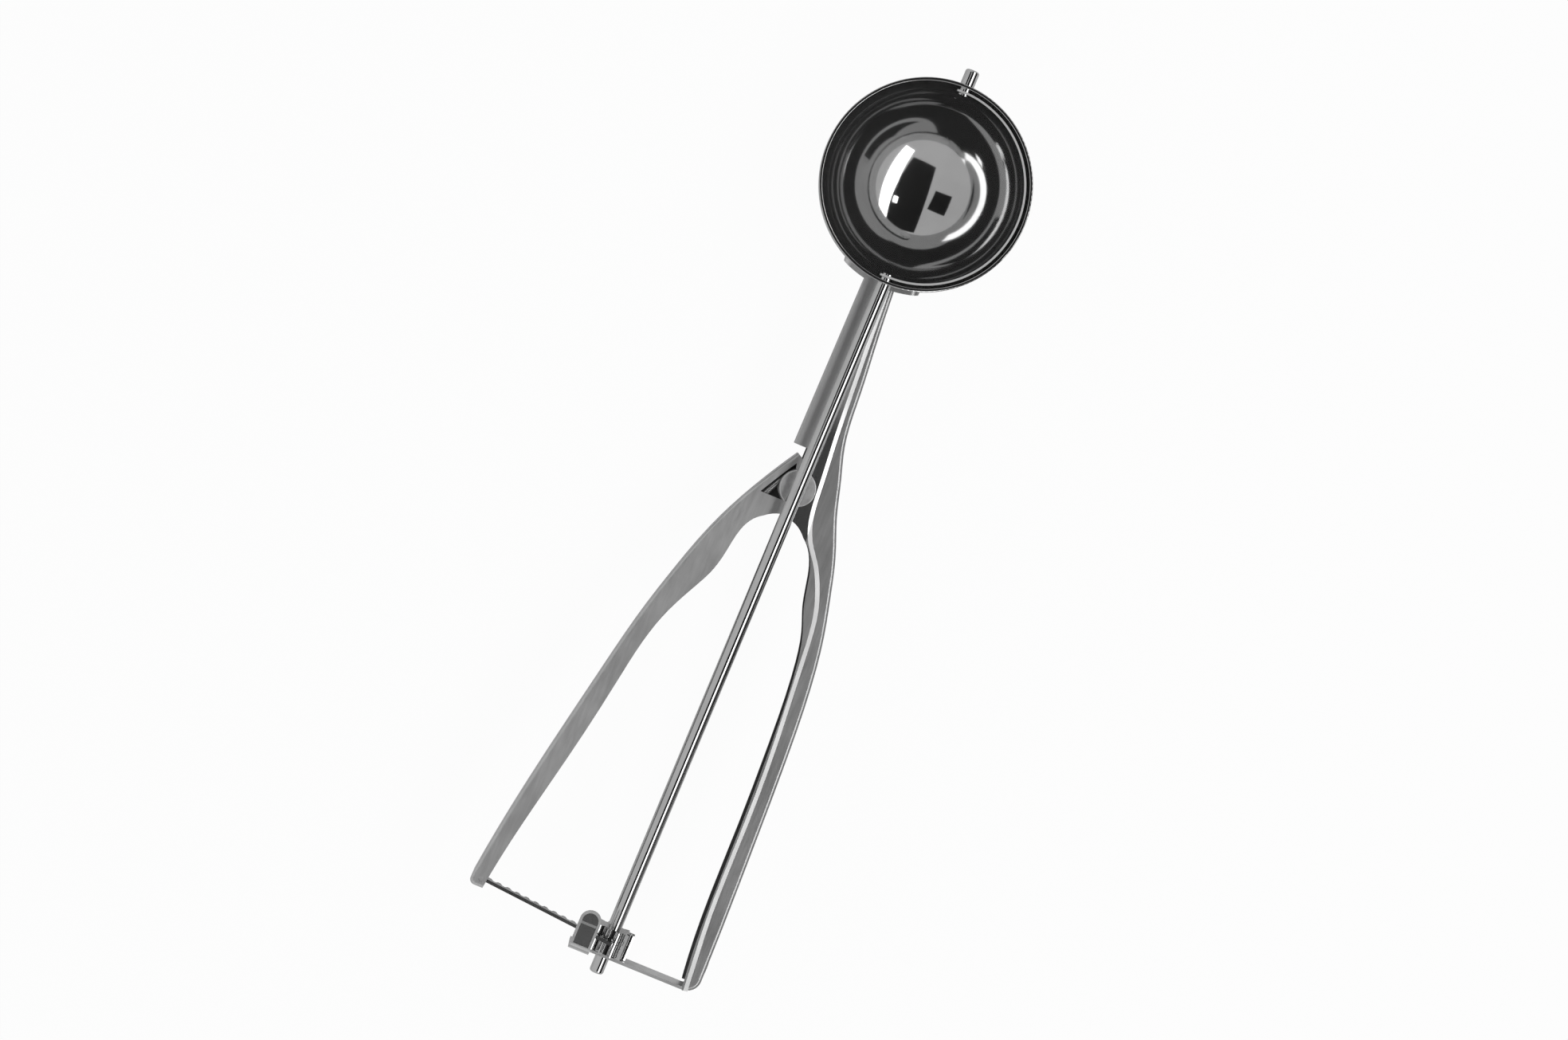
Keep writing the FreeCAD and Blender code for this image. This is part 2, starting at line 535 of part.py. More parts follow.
def lever():
    """Moving handle: a channel with its wall outside, a hub on the pivot and the rack's pin at its end."""
    outer = flat(LEVER_OUTER)
    arch = flat(LEVER_ARCH)
    inner = flat(LEVER_BACK_INNER)
    hub_start = V(arch[0].x, PIVOT_Y - math.sqrt(LEVER_HUB_R ** 2 - arch[0].x ** 2), 0)
    hub_top = V(0, PIVOT_Y + LEVER_HUB_R, 0)
    across = V(outer[1].y - outer[0].y, outer[0].x - outer[1].x, 0).normalize()
    strap_end = outer[0] - across * STRAP_WIDTH
    edges = [curve(outer), curve(arch), curve(inner), line(inner[-1], outer[-1]), line(arch[0], hub_start),
             Part.Arc(hub_start, V(LEVER_HUB_R, PIVOT_Y, 0), hub_top).toShape(),
             line(hub_top, strap_end), line(strap_end, outer[0])]
    block = plan_prism(edges).common(side_prism(LEVER_FRONT_Z, END_FRONT_Z, LEVER_BACK_Z, END_BACK_Z, 0))
    corner = [e for e in block.Edges if e.BoundBox.XMax < outer[-1].x + SNAP
              and e.BoundBox.YMax < outer[-1].y + SNAP and e.BoundBox.ZLength > CHANNEL_DEPTH]
    block = block.makeFillet(LEVER_END_ROUND, corner)
    block = block.makeFillet(BEND_R, edges_over(block, LEVER_OUTER))

    inside = shifted(LEVER_OUTER, SHEET)
    over_hub_y = PIVOT_Y + 3 * LEVER_HUB_R
    ring = flat([inside[0], (0, over_hub_y), (BIG / 4, over_hub_y), (BIG / 4, -BIG), (inside[-1][0], -BIG),
                 inside[-1]])
    hollow_edges = [line(ring[i], ring[i + 1]) for i in range(len(ring) - 1)]
    hollow = plan_prism([curve(flat(inside))] + hollow_edges)
    hollow = hollow.common(side_prism(LEVER_FRONT_Z, END_FRONT_Z, LEVER_BACK_Z, END_BACK_Z, SHEET))
    shell = block.cut(hollow)
    strip = strip_between(LEVER_FRONT_INNER, LEVER_BACK_INNER)
    shell = shell.cut(strip.common(above_back_flange(LEVER_BACK_Z, END_BACK_Z)))

    front_half = Part.makeBox(BIG, BIG, BIG, V(-BIG / 2, -BIG / 2, (LEVER_FRONT_Z + LEVER_BACK_Z) / 2))
    shell = shell.cut(lever_window().common(front_half))
    shell = shell.cut(cylinder(RIVET_R + RUNNING_FIT, V(0, PIVOT_Y, -BIG / 2), Z_AXIS, BIG))
    shell = shell.cut(cylinder(HINGE_PIN_R, V(HINGE_X, HINGE_Y, -BIG / 2), Z_AXIS, BIG))
    return shell.removeSplitter()


def pivot_rivet():
    """Flat-headed rivet that the lever turns on."""
    tail_z = LEVER_BACK_Z - FLANGE_GAP / 2
    shank = cylinder(RIVET_R, V(0, PIVOT_Y, tail_z - RIVET_TAIL_THICK), Z_AXIS,
                     NECK_FRONT_Z + RIVET_HEAD_THICK - tail_z + RIVET_TAIL_THICK)
    head = cylinder(RIVET_HEAD_R, V(0, PIVOT_Y, NECK_FRONT_Z), Z_AXIS, RIVET_HEAD_THICK)
    head = head.makeFillet(RIVET_HEAD_THICK / 2, edges_at(head, None, None, NECK_FRONT_Z + RIVET_HEAD_THICK))
    tail = cylinder(RIVET_TAIL_R, V(0, PIVOT_Y, tail_z - RIVET_TAIL_THICK), Z_AXIS, RIVET_TAIL_THICK)
    tail = tail.makeFillet(RIVET_TAIL_THICK / 2, edges_at(tail, None, None, tail_z - RIVET_TAIL_THICK))
    return shank.fuse(head).fuse(tail).removeSplitter()


def x_at(points, y):
    """Where the smooth curve through plan points crosses a given y."""
    across = line(V(-BIG, y, 0), V(BIG, y, 0))
    return curve(flat(points)).distToShape(across)[1][0][0].x


def handle_spring():
    """Coil spring on the pivot whose legs push the two handles apart; prints its least gap to itself."""
    stand_off = SPRING_WIRE_R + LEG_GAP
    left_x = x_at(shifted(LEVER_OUTER, SHEET + stand_off), LEG_END_Y)
    right_x = x_at(shifted(FIXED_OUTER, -SHEET - stand_off), LEG_END_Y)
    drop = LEG_END_Y - PIVOT_Y
    open_angle = math.acos(SPRING_MEAN_R / math.hypot(left_x, drop))
    end_angle = math.atan2(drop, left_x) - open_angle + 2 * math.pi
    open_angle = math.acos(SPRING_MEAN_R / math.hypot(right_x, drop))
    start_angle = math.atan2(drop, right_x) + open_angle
    turns = (end_angle - start_angle) / (2 * math.pi) + SPRING_FULL_TURNS
    height = SPRING_PITCH * turns
    low_z = (LEVER_FRONT_Z + NECK_BACK_Z - height) / 2
    helix = Part.makeHelix(SPRING_PITCH, height, SPRING_MEAN_R)
    helix.rotate(V(0, 0, 0), Z_AXIS, math.degrees(start_angle))
    helix.translate(V(0, PIVOT_Y, low_z))
    coil = helix.Edges[0]
    foot = coil.valueAt(coil.FirstParameter)
    head = coil.valueAt(coil.LastParameter)
    right_tip = V(right_x, LEG_END_Y, low_z + LEG_RISE)
    left_tip = V(left_x, LEG_END_Y, low_z + height)
    path = Part.Wire([line(right_tip, foot), coil, line(head, left_tip)])
    section = Part.Wire(Part.makeCircle(SPRING_WIRE_R, right_tip, foot - right_tip))
    climb = math.atan(SPRING_PITCH / (2 * math.pi * SPRING_MEAN_R))
    print("spring least gap to itself", round(SPRING_PITCH * math.cos(climb) - 2 * SPRING_WIRE_R, 3))
    return path.makePipeShell([section], True, True)


def wall_inside_x(y):
    """Inner face of the fixed handle's wall."""
    return x_at(shifted(FIXED_OUTER, -SHEET), y)


def guide_arm():
    """Strip riveted inside the fixed handle's end; it carries the rod and folds up as the rack's guide."""
    tab_x = wall_inside_x(ARM_TAB_TOP_Y) - ARM_SEAT_GAP
    low_z = AXIS_Z - ARM_HALF_WIDTH
    front_z = EAR_Z + ARM_THICK
    width = 2 * ARM_HALF_WIDTH
    strip = Part.makeBox(tab_x - EAR_LEFT_X, ARM_THICK, width, V(EAR_LEFT_X, ARM_END_Y, low_z))
    tab = Part.makeBox(ARM_THICK, ARM_TAB_TOP_Y - ARM_END_Y, width, V(tab_x - ARM_THICK, ARM_END_Y, low_z))
    arm = strip.fuse(tab).removeSplitter()
    arm = arm.makeFillet(ARM_BEND_R, edges_at(arm, tab_x, ARM_END_Y, None))
    arm = arm.makeFillet(ARM_BEND_R - ARM_THICK, edges_at(arm, tab_x - ARM_THICK, ARM_TOP_Y, None))

    ear_width = EAR_RIGHT_X - EAR_LEFT_X
    ear_r = ear_width / 2
    top = V(EAR_LEFT_X + ear_r, EAR_TOP_Y - ear_r, EAR_Z)
    riser = Part.makeBox(ear_width, ARM_THICK, front_z - low_z, V(EAR_LEFT_X, ARM_END_Y, low_z))
    ear = Part.makeBox(ear_width, top.y - ARM_END_Y, ARM_THICK, V(EAR_LEFT_X, ARM_END_Y, EAR_Z))
    ear = ear.fuse(cylinder(ear_r, top, Z_AXIS, ARM_THICK))
    folded = riser.fuse(ear).removeSplitter()
    folded = folded.makeFillet(ARM_FOLD_R, edges_at(folded, None, ARM_END_Y, front_z))
    folded = folded.makeFillet(ARM_FOLD_R - ARM_THICK, edges_at(folded, None, ARM_TOP_Y, EAR_Z))
    arm = arm.fuse(folded).removeSplitter()

    dish_z = front_z - EAR_DISH
    foot_y = ARM_END_Y + EAR_FOOT
    dish = Part.makeBox(ear_width - 2 * EAR_RIM, top.y - foot_y, ARM_THICK,
                        V(EAR_LEFT_X + EAR_RIM, foot_y, dish_z))
    dish = dish.fuse(cylinder(ear_r - EAR_RIM, V(top.x, top.y, dish_z), Z_AXIS, ARM_THICK))
    rib = Part.makeBox(ear_width, EAR_RIB_WIDTH, EAR_DISH / 2,
                       V(EAR_LEFT_X, EAR_RIB_Y - EAR_RIB_WIDTH / 2, dish_z))
    arm = arm.cut(dish.cut(rib))
    arm = arm.cut(cylinder(ROD_R + RUNNING_FIT, V(0, -BIG, AXIS_Z), Y_AXIS, BIG))
    return arm.cut(cylinder(ARM_RIVET_R, V(0, ARM_RIVET_Y, AXIS_Z), X_AXIS, BIG))


def arm_rivet():
    """Rivet through the fixed handle's wall and the arm's tab."""
    outside_x = x_at(FIXED_OUTER, ARM_RIVET_Y) + ARM_SEAT_GAP
    inside_x = wall_inside_x(ARM_TAB_TOP_Y) - ARM_SEAT_GAP - ARM_THICK
    head_x = inside_x - ARM_RIVET_HEAD_THICK
    shank = cylinder(ARM_RIVET_R, V(head_x, ARM_RIVET_Y, AXIS_Z), X_AXIS,
                     outside_x + ARM_RIVET_HEAD_THICK - head_x)
    outside = cylinder(ARM_RIVET_HEAD_R, V(outside_x, ARM_RIVET_Y, AXIS_Z), X_AXIS, ARM_RIVET_HEAD_THICK)
    inside = cylinder(ARM_RIVET_HEAD_R, V(head_x, ARM_RIVET_Y, AXIS_Z), X_AXIS, ARM_RIVET_HEAD_THICK)
    return shank.fuse(outside).fuse(inside).removeSplitter()


NODES = {
    "bowl": bowl,
    "fixed_handle": fixed_handle,
    "pivot_rivet": pivot_rivet,
    "guide_arm": guide_arm,
    "arm_rivet": arm_rivet,
    "lever": lever,
    "handle_spring": handle_spring,
    "rack_pin": rack_pin,
    "rack": rack,
    "sweep_rod": sweep_rod,
    "sweep_blade": sweep_blade,
    "top_pin": top_pin,
    "pinion": pinion,
}

os.makedirs("parts", exist_ok=True)
for node, make in NODES.items():
    shape = make()
    shape.exportStep("parts/" + node + ".step")
    print(node, "solids", len(shape.Solids), "valid", shape.isValid(), "volume", round(shape.Volume, 2))
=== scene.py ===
"""Lever ice cream scoop: finishes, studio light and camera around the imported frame."""
import math

import bpy
from mathutils import Matrix, Vector


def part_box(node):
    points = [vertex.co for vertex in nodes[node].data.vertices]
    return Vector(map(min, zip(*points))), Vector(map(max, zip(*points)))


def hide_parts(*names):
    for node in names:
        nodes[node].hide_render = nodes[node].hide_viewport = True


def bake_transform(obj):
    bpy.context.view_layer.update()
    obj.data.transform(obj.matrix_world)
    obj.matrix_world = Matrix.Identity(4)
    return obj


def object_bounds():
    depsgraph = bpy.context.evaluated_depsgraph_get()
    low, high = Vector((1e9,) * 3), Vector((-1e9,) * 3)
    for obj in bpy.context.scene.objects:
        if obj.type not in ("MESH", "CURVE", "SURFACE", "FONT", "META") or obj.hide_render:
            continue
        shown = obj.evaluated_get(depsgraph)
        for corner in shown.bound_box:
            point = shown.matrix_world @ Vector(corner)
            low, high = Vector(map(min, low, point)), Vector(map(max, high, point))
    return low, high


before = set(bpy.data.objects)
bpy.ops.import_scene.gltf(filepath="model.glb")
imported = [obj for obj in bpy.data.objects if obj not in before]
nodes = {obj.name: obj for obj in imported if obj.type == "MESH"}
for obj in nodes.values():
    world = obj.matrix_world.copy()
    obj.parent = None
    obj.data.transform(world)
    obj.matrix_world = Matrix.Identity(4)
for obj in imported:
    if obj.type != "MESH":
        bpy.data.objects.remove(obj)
cad_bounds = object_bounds()
bpy.ops.object.select_all(action="DESELECT")


# Bowl: a hemisphere pressed from thin stainless sheet, with a short straight collar at its mouth.
# It is buffed to a mirror inside and out, so fine rings from the wheel run round its axis.
BOWL_LIGHT = (0.56, 0.56, 0.56, 1.0)
BOWL_DARK = (0.50, 0.50, 0.50, 1.0)
BOWL_GLOSS = (0.045, 0.085)
BOWL_METALLIC = 0.96
BUFF_RINGS = 1500.0
BOWL_CLOUDS = 60.0
CLOUD_RANGE = (0.35, 0.65)
BOWL_SMUDGES = 45.0
WEAR_RANGE = (0.3, 0.7)
RING_SHARE = 0.3
RING_BUMP = 0.02
RING_DEPTH = 0.00002


class Value:
    """A number socket of a finish, usable in Python expressions."""

    def __init__(self, finish, socket):
        self.finish = finish
        self.socket = socket

    def math(self, operation, first, second):
        return self.finish.node("ShaderNodeMath", {"operation": operation}, {0: first, 1: second})

    def __add__(self, other):
        return self.math("ADD", self, other)

    __radd__ = __add__

    def __sub__(self, other):
        return self.math("SUBTRACT", self, other)

    def __rsub__(self, other):
        return self.math("SUBTRACT", other, self)

    def __mul__(self, other):
        return self.math("MULTIPLY", self, other)

    __rmul__ = __mul__

    def __pow__(self, other):
        return self.math("POWER", self, other)


class Finish:
    """A material; one method makes all its nodes."""

    def __init__(self, name):
        self.material = bpy.data.materials.new(name)
        self.material.use_nodes = True
        self.tree = self.material.node_tree
        self.tree.nodes.clear()
        self.output = self.tree.nodes.new("ShaderNodeOutputMaterial")

    def node(self, kind, settings, inputs, out=0):
        made = self.tree.nodes.new(kind)
        for name, value in settings.items():
            setattr(made, name, value)
        for name, value in inputs.items():
            if isinstance(value, Value):
                self.tree.links.new(value.socket, made.inputs[name])
            else:
                made.inputs[name].default_value = value
        return Value(self, made.outputs[out])

    def place(self):
        return self.node("ShaderNodeTexCoord", {}, {}, "Object")

    def split(self, vector):
        parts = self.node("ShaderNodeSeparateXYZ", {}, {"Vector": vector})
        return [Value(self, socket) for socket in parts.socket.node.outputs]

    def axes(self):
        return self.split(self.place())

    def facing(self):
        return self.split(self.node("ShaderNodeTexCoord", {}, {}, "Normal"))

    def stretched(self, scale):
        return self.node("ShaderNodeMapping", {}, {"Vector": self.place(), "Scale": scale})

    def noise(self, where, scale, detail=3.0, roughness=0.55):
        return self.node("ShaderNodeTexNoise", {},
                         {"Vector": where, "Scale": scale, "Detail": detail, "Roughness": roughness})

    def ranged(self, value, low, high, out_low, out_high):
        return self.node("ShaderNodeMapRange", {"clamp": True},
                         {"Value": value, "From Min": low, "From Max": high,
                          "To Min": out_low, "To Max": out_high})

    def blend(self, factor, first, second):
        return self.node("ShaderNodeMix", {"data_type": "RGBA"}, {0: factor, 6: first, 7: second}, 2)

    def bump(self, height, strength, distance):
        return self.node("ShaderNodeBump", {},
                         {"Height": height, "Strength": strength, "Distance": distance})

    def metal(self, colour, gloss, normal, metallic=1.0):
        shader = self.node("ShaderNodeBsdfPrincipled", {},
                           {"Base Color": colour, "Metallic": metallic, "Roughness": gloss,
                            "Normal": normal})
        self.tree.links.new(shader.socket, self.output.inputs["Surface"])
        return self.material


def dress(material, *names):
    """Puts one finish on pieces of the frame."""
    for name in names:
        nodes[name].data.materials.clear()
        nodes[name].data.materials.append(material)


mirror = Finish("mirror_steel")
x, y, z = mirror.axes()
radius = (x * x + y * y) ** 0.5
round_axis = mirror.node("ShaderNodeCombineXYZ", {}, {"X": radius, "Y": z, "Z": 0.0})
rings = mirror.noise(round_axis, BUFF_RINGS, detail=2.0)
clouds = mirror.ranged(mirror.noise(mirror.place(), BOWL_CLOUDS), *CLOUD_RANGE, 0.0, 1.0)
smudges = mirror.noise(mirror.place(), BOWL_SMUDGES, detail=5.0, roughness=0.65)
worn = mirror.ranged((1.0 - RING_SHARE) * smudges + RING_SHARE * rings, *WEAR_RANGE, *BOWL_GLOSS)
dress(mirror.metal(mirror.blend(clouds, BOWL_DARK, BOWL_LIGHT), worn,
                   mirror.bump(rings, RING_BUMP, RING_DEPTH), BOWL_METALLIC), "bowl")


# Fixed handle: neck, saddle and handle in one stainless stamping, spot welded to the bowl. Its faces
# keep the satin of the rolled sheet, but the press polished the plate beside the pivot.
SATIN_LIGHT = (0.48, 0.48, 0.48, 1.0)
SATIN_DARK = (0.40, 0.40, 0.40, 1.0)
NECK_PAINTED_LIGHT = (0.80, 0.80, 0.80, 1.0)
INSIDE_PAINTED_SHADE = (0.13, 0.13, 0.13, 1.0)
SATIN_GLOSS = (0.38, 0.48)
POLISHED_GLOSS = 0.26
SHEET_GRAIN = (1500.0, 60.0, 1500.0)
SHEET_CLOUDS = 90.0
SHEET_SMUDGES = 35.0
TONE_RANGE = (0.38, 0.62)
LINES_IN_TONE = 0.5
LINES_IN_WEAR = 0.4
GRAIN_DEPTH = 0.00003
SHEET_BUMP = 0.12
FRONT_Z = -0.0055
KNEE_Y = -0.086
HANDLE_SLOPE = 0.1018
INSIDE_DEPTH = (0.0010, 0.0014)
UP_FACING = (0.4, 0.6)
RIDGE_X = 0.0026
RIDGE_Y = -0.053
RIDGE_SLOPE = 0.0909
RIDGE_FOOT = (0.0007, 0.0009)
PLATE_LEFT = (-0.0015, 0.0)
PLATE_TOP = (-0.064, -0.054)
PLATE_END = (-0.095, -0.093)
NECK_RIGHT = (-0.002, 0.003)
NECK_LIGHT_SHARE = 0.8


def rolled_sheet(name, light, dark, gloss, grain, depth):
    """Steel with fine grain lines, faint clouds and handling marks: its tone, gloss and bump."""
    finish = Finish(name)
    lines = finish.noise(finish.stretched(grain), 1.0, detail=4.0, roughness=0.6)
    clouds = finish.noise(finish.place(), SHEET_CLOUDS)
    smudges = finish.noise(finish.place(), SHEET_SMUDGES, detail=5.0, roughness=0.65)
    mottle = LINES_IN_TONE * lines + (1.0 - LINES_IN_TONE) * clouds
    tone = finish.blend(finish.ranged(mottle, *TONE_RANGE, 0.0, 1.0), dark, light)
    wear = (1.0 - LINES_IN_WEAR) * smudges + LINES_IN_WEAR * lines
    worn = finish.ranged(wear, *WEAR_RANGE, *gloss)
    return finish, tone, worn, finish.bump(lines, depth, GRAIN_DEPTH)


def plain_sheet(*look):
    """The rolled sheet's finish, the same all over a piece."""
    finish, tone, worn, grain = rolled_sheet(*look)
    return finish.metal(tone, worn, grain)


def facing_up(finish):
    """1 where a surface looks up, out of the bowl's mouth, and 0 on walls and undersides."""
    return finish.ranged(finish.facing()[2], *UP_FACING, 0.0, 1.0)


def painted_channel_shade(finish):
    """Mask of painted shade: 1 on the inner face of a channel's back flange, which is painted dark, and
    0 elsewhere.
    """
    y, z = finish.axes()[1:]
    beyond_knee = finish.node("ShaderNodeMath", {"operation": "MAXIMUM"}, {0: KNEE_Y - y, 1: 0.0})
    below_face = FRONT_Z + HANDLE_SLOPE * beyond_knee - z
    return finish.ranged(below_face, *INSIDE_DEPTH, 0.0, 1.0) * facing_up(finish)


satin, tone, worn, grain = rolled_sheet("satin_sheet_steel", SATIN_LIGHT, SATIN_DARK, SATIN_GLOSS,
                                        SHEET_GRAIN, SHEET_BUMP)
x, y = satin.axes()[:2]
past_ridge = x - RIDGE_X - RIDGE_SLOPE * (RIDGE_Y - y)
plate = (satin.ranged(past_ridge, *RIDGE_FOOT, 1.0, 0.0) * satin.ranged(x, *PLATE_LEFT, 0.0, 1.0)
         * satin.ranged(y, *PLATE_TOP, 1.0, 0.0) * satin.ranged(y, *PLATE_END, 0.0, 1.0))
# Painted light: the neck left of the rod, off the plate, is painted lighter against the shade of the
# rod in front of it.
neck = satin.ranged(x, *NECK_RIGHT, 1.0, 0.0) * (1.0 - plate)
# Painted shade: the inner face of the channel's back flange is painted dark.
tone = satin.blend(painted_channel_shade(satin), satin.blend(NECK_LIGHT_SHARE * neck, tone, NECK_PAINTED_LIGHT), INSIDE_PAINTED_SHADE)
dress(satin.metal(tone, worn + plate * (POLISHED_GLOSS - worn), grain), "fixed_handle")


# Lever: the second stamping, a little brighter on its face, which turns on a flat-headed rivet
# through the fixed handle's pivot plate.
LEVER_LIGHT = (0.70, 0.70, 0.70, 1.0)
LEVER_DARK = (0.62, 0.62, 0.62, 1.0)
RIVET_GLOSS = (0.42, 0.52)
RIVET_GRAIN = (500.0, 500.0, 500.0)
RIVET_BUMP = 0.1
lever_steel, tone, worn, grain = rolled_sheet("satin_lever_steel", LEVER_LIGHT, LEVER_DARK, SATIN_GLOSS,
                                              SHEET_GRAIN, SHEET_BUMP)
# Painted shade: the inner face of the lever's back flange is painted dark.
tone = lever_steel.blend(painted_channel_shade(lever_steel), tone, INSIDE_PAINTED_SHADE)
dress(lever_steel.metal(tone, worn, grain), "lever")
dress(plain_sheet("rivet_steel", LEVER_LIGHT, SATIN_LIGHT, RIVET_GLOSS, RIVET_GRAIN, RIVET_BUMP),
      "pivot_rivet")


# Spring: hard-drawn round wire, coiled round the rivet between the flanges. It is darker than the
# sheet, with lines from the drawing die.
WIRE_LIGHT = (0.45, 0.45, 0.45, 1.0)
WIRE_DARK = (0.34, 0.34, 0.34, 1.0)
WIRE_GLOSS = (0.22, 0.32)
WIRE_GRAIN = (600.0, 600.0, 600.0)
WIRE_BUMP = 0.1
SEAM = 0.000001
spring = bpy.data.objects.new("flexing_spring", nodes["handle_spring"].data.copy())
bpy.context.scene.collection.objects.link(spring)
bpy.context.view_layer.objects.active = spring
spring.select_set(True)
bpy.ops.object.mode_set(mode="EDIT")
bpy.ops.mesh.select_all(action="SELECT")
bpy.ops.mesh.remove_doubles(threshold=SEAM)
bpy.ops.object.mode_set(mode="OBJECT")
bpy.ops.object.shade_smooth()
bpy.ops.object.select_all(action="DESELECT")
spring.data.materials.clear()
spring.data.materials.append(plain_sheet("spring_wire_steel", WIRE_LIGHT, WIRE_DARK, WIRE_GLOSS,
                                         WIRE_GRAIN, WIRE_BUMP))
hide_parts("handle_spring")
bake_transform(spring)


# Rack: a thin toothed bar sheared from steel strip, its end rolled into an eye round a flush pin in
# the lever. The grain of the rolled strip runs along the bar.
STRIP_LIGHT = (0.46, 0.46, 0.46, 1.0)
STRIP_DARK = (0.36, 0.36, 0.36, 1.0)
STRIP_GLOSS = (0.18, 0.28)
RACK_GRAIN = (80.0, 900.0, 900.0)
dress(plain_sheet("rack_steel", STRIP_LIGHT, STRIP_DARK, STRIP_GLOSS, RACK_GRAIN, SHEET_BUMP), "rack")
dress(plain_sheet("rack_pin_steel", LEVER_LIGHT, SATIN_DARK, RIVET_GLOSS, RIVET_GRAIN, RIVET_BUMP),
      "rack_pin")


# Guide arm: a strip riveted inside the end of the fixed handle. It carries the rod, and its ear is
# folded over the rack to keep it on the gear. The press dished the ear between rim and rib.
ARM_LIGHT = (0.74, 0.74, 0.74, 1.0)
ARM_DARK = (0.64, 0.64, 0.64, 1.0)
ARM_GLOSS = (0.36, 0.46)
ARM_GRAIN = (90.0, 700.0, 700.0)
DISH_PAINTED_SHADE = (0.50, 0.50, 0.50, 1.0)
DISH_RIM_DROP = (0.0001, 0.00018)
DISH_FLOOR_DROP = (0.00032, 0.0004)
arm_steel, tone, worn, grain = rolled_sheet("guide_arm_steel", ARM_LIGHT, ARM_DARK, ARM_GLOSS,
                                            ARM_GRAIN, SHEET_BUMP)
below_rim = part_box("guide_arm")[1][2] - arm_steel.axes()[2]
# The dish band is polished, and its colour is painted darker as painted shade.
dish_polish_and_shade = (arm_steel.ranged(below_rim, *DISH_RIM_DROP, 0.0, 1.0)
        * arm_steel.ranged(below_rim, *DISH_FLOOR_DROP, 1.0, 0.0) * facing_up(arm_steel))
tone = arm_steel.blend(dish_polish_and_shade, tone, DISH_PAINTED_SHADE)
dress(arm_steel.metal(tone, worn + dish_polish_and_shade * (POLISHED_GLOSS - worn), grain), "guide_arm")
dress(plain_sheet("arm_rivet_steel", LEVER_LIGHT, SATIN_DARK, RIVET_GLOSS, RIVET_GRAIN, RIVET_BUMP),
      "arm_rivet")


# Rod, top pin and blade: bright drawn bar and flat strip, polished so that the blade slides round the
# bowl. Spigots on the rod and the pin are riveted over the blade's tabs, and its sheared edge is pale.
BAR_LIGHT = (0.66, 0.66, 0.66, 1.0)
BAR_DARK = (0.58, 0.58, 0.58, 1.0)
BAR_GLOSS = (0.07, 0.13)
BAR_GRAIN = (700.0, 25.0, 700.0)
BLADE_GRAIN = (300.0, 300.0, 900.0)
BAR_BUMP = 0.05
EDGE_TONE = (0.85, 0.85, 0.85, 1.0)
EDGE_GLOSS = 0.45
EDGE_FACING = (0.85, 0.95)
dress(plain_sheet("bright_bar_steel", BAR_LIGHT, BAR_DARK, BAR_GLOSS, BAR_GRAIN, BAR_BUMP),
      "sweep_rod", "top_pin")
strip, tone, worn, grain = rolled_sheet("bright_strip_steel", BAR_LIGHT, BAR_DARK, BAR_GLOSS,
                                        BLADE_GRAIN, BAR_BUMP)
edge = strip.ranged(strip.facing()[2], *EDGE_FACING, 0.0, 1.0)
tone = strip.blend(edge, tone, EDGE_TONE)
dress(strip.metal(tone, worn + edge * (EDGE_GLOSS - worn), grain), "sweep_blade")


# Pinion: a long gear cut from steel bar and pressed on the rod. Its tooth flanks are left from the
# cutter, whose lines run along the teeth.
GEAR_LIGHT = (0.66, 0.66, 0.66, 1.0)
GEAR_DARK = (0.46, 0.46, 0.46, 1.0)
GEAR_GLOSS = (0.10, 0.16)
GEAR_GRAIN = (600.0, 60.0, 600.0)
GEAR_BUMP = 0.1
dress(plain_sheet("gear_steel", GEAR_LIGHT, GEAR_DARK, GEAR_GLOSS, GEAR_GRAIN, GEAR_BUMP), "pinion")


# Table: a large sheet of matt white paper, laid flat just below the scoop. It glows, so that it
# shows white to the camera, and far more weakly where the steel mirrors it.
PAPER_SIZE = 4.0
PAPER_COLOUR = (0.7, 0.7, 0.7, 1.0)
PAPER_GLOW_SEEN = 0.96
PAPER_GLOW_MIRRORED = 0.12
PAPER_GLOW = (1.0, 1.0, 1.0, 1.0)
PAPER_GAP = 0.0005
PAPER_Y = -0.09
bpy.ops.mesh.primitive_plane_add(size=PAPER_SIZE, location=(0, PAPER_Y, cad_bounds[0][2] - PAPER_GAP))
table = bpy.context.object
table.name = "table"
paper = Finish("white_paper")
plain = paper.node("ShaderNodeBsdfDiffuse", {}, {"Color": PAPER_COLOUR})
white = paper.node("ShaderNodeEmission", {}, {"Color": PAPER_GLOW, "Strength": 1.0})
seen = paper.node("ShaderNodeLightPath", {}, {}, "Is Camera Ray")
mirrored = paper.node("ShaderNodeLightPath", {}, {}, "Is Glossy Ray")
passed = paper.node("ShaderNodeLightPath", {}, {}, "Is Transmission Ray")
glow = (seen + passed) * PAPER_GLOW_SEEN + mirrored * PAPER_GLOW_MIRRORED
mixed = paper.node("ShaderNodeMixShader", {}, {0: glow, 1: plain, 2: white})
paper.tree.links.new(mixed.socket, paper.output.inputs["Surface"])
table.data.materials.append(paper.material)


# Studio: a plain grey room, with a long soft lamp and a small one on the fixed handle's side. Dark
# cards above and at both sides are there for the polished steel to mirror, and the camera doesn't
# see them.
ROOM_GREY = (0.60, 0.60, 0.60, 1.0)
CARD_COLOUR = (0.02, 0.02, 0.02, 1.0)
AIM = Vector((0.0, -0.08, 0.0))
SOFT_LAMPS = [("long_lamp", (0.588, 0.06, 0.809), (0.28, 1.75), 5.4),
              ("window_lamp", (0.325, 0.325, 0.72), (0.08, 0.11), 0.12)]
CARDS = [("overhead_card", (0.142, 0.153, 0.87), (0.62, 1.6)),
         ("square_card", (-0.43, 0.12, 0.86), (0.36, 0.40)),
         ("side_card", (1.05, -0.08, 0.30), (0.62, 2.4))]


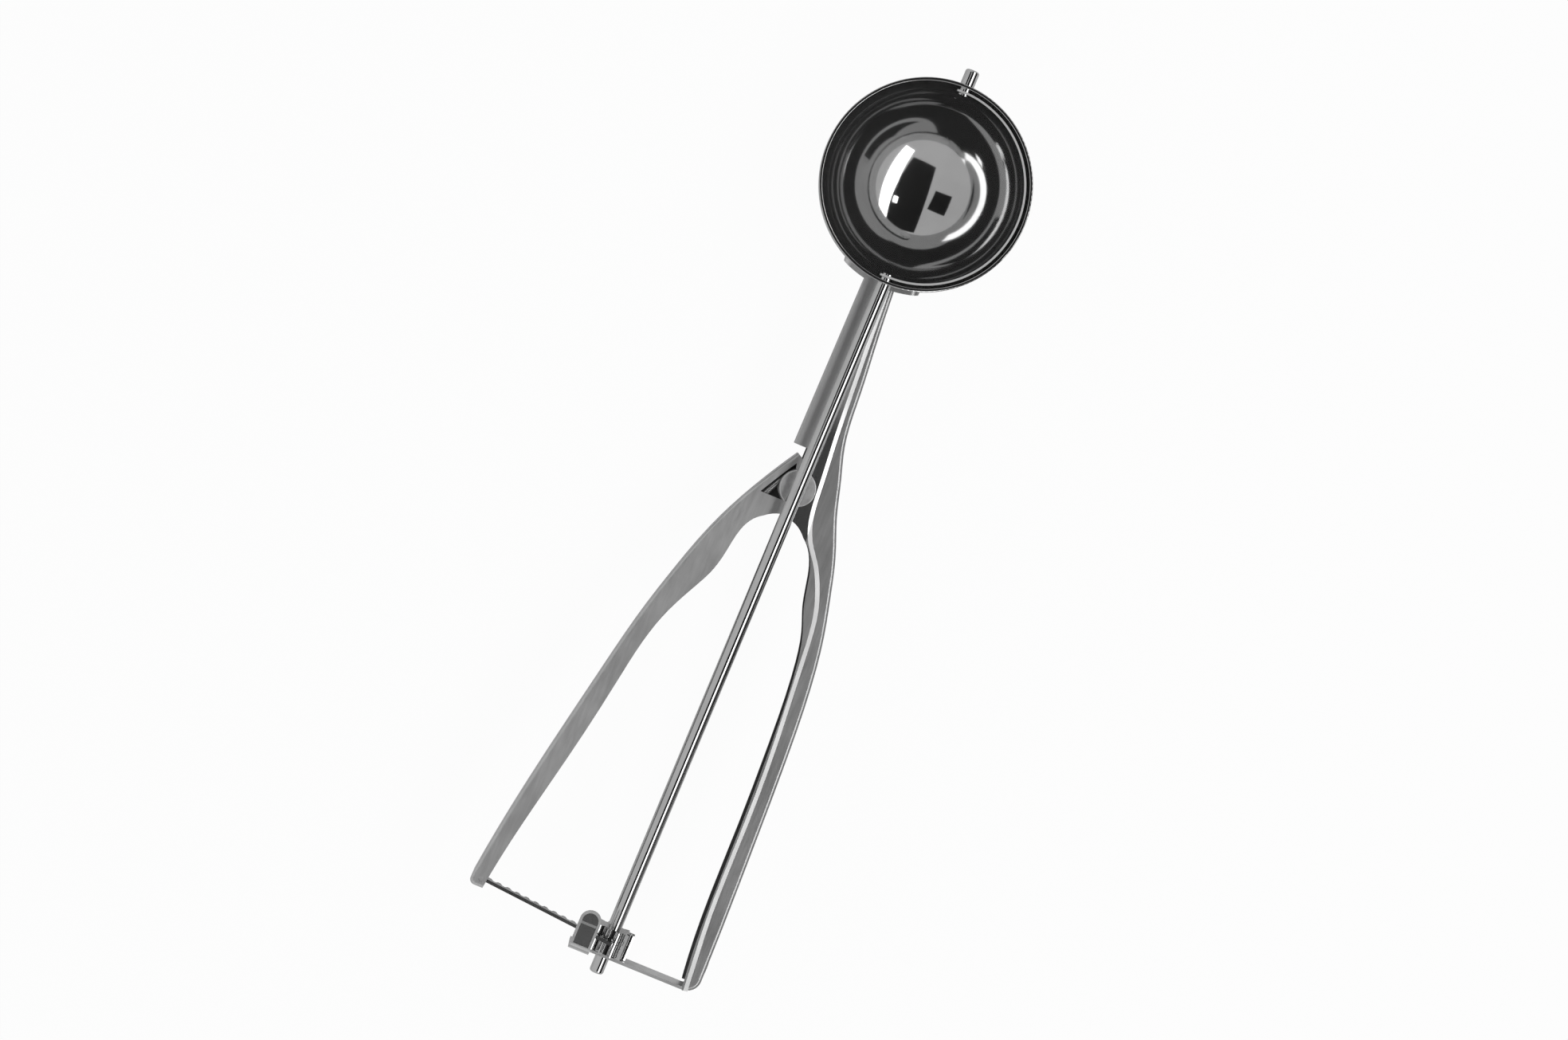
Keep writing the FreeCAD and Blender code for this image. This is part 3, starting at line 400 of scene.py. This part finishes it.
def face_object(piece):
    """Turns a lamp or card so that its -Z looks at the scoop, with its Y along the handles."""
    away = (piece.location - AIM).normalized()
    along = (Vector((0.0, 1.0, 0.0)) - away * away.y).normalized()
    turn = Matrix((along.cross(away), along, away)).transposed()
    piece.rotation_euler = turn.to_euler()


world = bpy.data.worlds.new("studio")
bpy.context.scene.world = world
world.use_nodes = True
world.node_tree.nodes["Background"].inputs["Color"].default_value = ROOM_GREY
world.node_tree.nodes["Background"].inputs["Strength"].default_value = 1.0
for name, place, (width, length), power in SOFT_LAMPS:
    bpy.ops.object.light_add(type="AREA", location=place)
    lamp = bpy.context.object
    lamp.name = name
    lamp.data.shape = "RECTANGLE"
    lamp.data.size = width
    lamp.data.size_y = length
    lamp.data.energy = power
    face_object(lamp)
black = Finish("black_card")
matt = black.node("ShaderNodeBsdfDiffuse", {}, {"Color": CARD_COLOUR})
black.tree.links.new(matt.socket, black.output.inputs["Surface"])
for name, place, (width, length) in CARDS:
    bpy.ops.mesh.primitive_plane_add(size=1.0, location=place)
    card = bpy.context.object
    card.name = name
    card.scale = (width, length, 1.0)
    face_object(card)
    card.data.materials.append(black.material)
    card.visible_camera = False


# Camera: it looks down on the scoop from about 0.7 m, a little to the lever's side, and turned so
# that the bowl is at the top right of the picture.
EYE = Vector((-0.035, -0.065, 0.720))
LOOK_AT = Vector((-0.0004, -0.0876, 0.0))
ROLL = 0.3967
FOCAL_PIXELS = 3750.0
PICTURE_WIDTH = 1968.0
SENSOR_MM = 36.0
NEAR_LIMIT = 0.01
scene = bpy.context.scene
scene.view_settings.view_transform = "Standard"
bpy.ops.object.camera_add(location=EYE)
camera = bpy.context.object
camera.name = "camera"
forward = (LOOK_AT - EYE).normalized()
across = forward.cross(Vector((-math.sin(ROLL), math.cos(ROLL), 0.0))).normalized()
turn = Matrix((across, across.cross(forward), -forward)).transposed().to_4x4()
camera.matrix_world = Matrix.Translation(EYE) @ turn
camera.data.sensor_width = SENSOR_MM
camera.data.lens = FOCAL_PIXELS / PICTURE_WIDTH * SENSOR_MM
camera.data.clip_start = NEAR_LIMIT
scene.camera = camera
